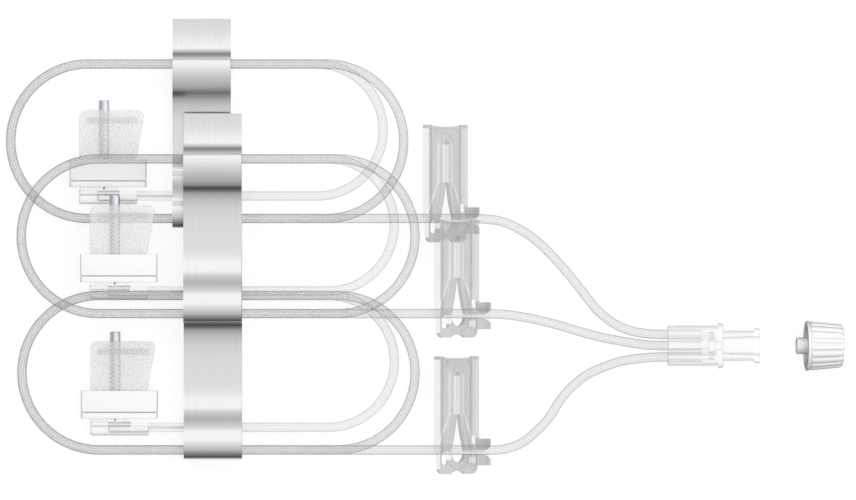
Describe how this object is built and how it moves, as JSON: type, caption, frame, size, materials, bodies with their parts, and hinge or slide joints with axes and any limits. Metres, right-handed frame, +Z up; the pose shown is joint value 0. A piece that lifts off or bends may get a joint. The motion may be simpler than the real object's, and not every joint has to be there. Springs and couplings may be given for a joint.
{
  "type": "subcutaneous infusion set",
  "caption": "Flat packed needle set: taped tubing coils, sheathed butterfly needles and slide clamps joined to a luer connector, with its cap off.",
  "frame": {"origin": "centre of the set's rigid pieces, on the surface that the set lies on", "axes": "+X from the coils towards the luer connector and its cap, +Y along the needles towards the sheath tips, +Z up out of the surface"},
  "size_m": [0.1861, 0.1011, 0.0183],
  "materials": {
    "tubing": "clear soft PVC tubing",
    "tape": "silver foil tape, satin",
    "clear_plastic": "clear moulded polycarbonate",
    "sheath_plastic": "smooth extruded tube",
    "needle_steel": "polished stainless steel",
    "soft_plastic": "translucent soft PVC with a fine diamond pattern",
    "white_plastic": "white moulded polypropylene",
    "natural_plastic": "natural polyethylene, translucent",
    "cap_plastic": "white moulded plastic"
  },
  "bodies": {
    "set": {"coil_1": "tubing", "needle_lead_1": "tubing", "outlet_tube_1": "tubing", "coil_band_1": "tape", "needle_hub_1": "clear_plastic", "needle_cannula_1": "needle_steel", "butterfly_wings_1": "soft_plastic", "coil_2": "tubing", "needle_lead_2": "tubing", "outlet_tube_2": "tubing", "coil_band_2": "tape", "needle_hub_2": "clear_plastic", "needle_cannula_2": "needle_steel", "butterfly_wings_2": "soft_plastic", "coil_3": "tubing", "needle_lead_3": "tubing", "outlet_tube_3": "tubing", "coil_band_3": "tape", "needle_hub_3": "clear_plastic", "needle_cannula_3": "needle_steel", "butterfly_wings_3": "soft_plastic", "luer_connector": "clear_plastic", "luer_cap": "cap_plastic"},
    "clamp_1": {"slide_clamp_1": "natural_plastic"},
    "retainer_1": {"wing_retainer_1": "white_plastic"},
    "sheath_1": {"needle_sheath_1": "sheath_plastic"},
    "clamp_2": {"slide_clamp_2": "natural_plastic"},
    "retainer_2": {"wing_retainer_2": "white_plastic"},
    "sheath_2": {"needle_sheath_2": "sheath_plastic"},
    "clamp_3": {"slide_clamp_3": "natural_plastic"},
    "retainer_3": {"wing_retainer_3": "white_plastic"},
    "sheath_3": {"needle_sheath_3": "sheath_plastic"}
  },
  "joints": [
    {"name": "clamp_1_slide", "type": "slide", "parent": "set", "child": "clamp_1", "axis": [0, -1, 0], "range_m": [0, 0.012], "deforming": ["outlet_tube_1"]},
    {"name": "retainer_1_slide", "type": "slide", "parent": "set", "child": "retainer_1", "axis": [0, 1, 0], "range_m": [0, 0.0175]},
    {"name": "sheath_1_slide", "type": "slide", "parent": "set", "child": "sheath_1", "axis": [0, 1, 0], "range_m": [0, 0.0065]},
    {"name": "clamp_2_slide", "type": "slide", "parent": "set", "child": "clamp_2", "axis": [0, -1, 0], "range_m": [0, 0.012], "deforming": ["outlet_tube_2"]},
    {"name": "retainer_2_slide", "type": "slide", "parent": "set", "child": "retainer_2", "axis": [0, 1, 0], "range_m": [0, 0.0175]},
    {"name": "sheath_2_slide", "type": "slide", "parent": "set", "child": "sheath_2", "axis": [0, 1, 0], "range_m": [0, 0.0065]},
    {"name": "clamp_3_slide", "type": "slide", "parent": "set", "child": "clamp_3", "axis": [0, -1, 0], "range_m": [0, 0.012], "deforming": ["outlet_tube_3"]},
    {"name": "retainer_3_slide", "type": "slide", "parent": "set", "child": "retainer_3", "axis": [0, 1, 0], "range_m": [0, 0.0175]},
    {"name": "sheath_3_slide", "type": "slide", "parent": "set", "child": "sheath_3", "axis": [0, 1, 0], "range_m": [0, 0.0065]}
  ]
}
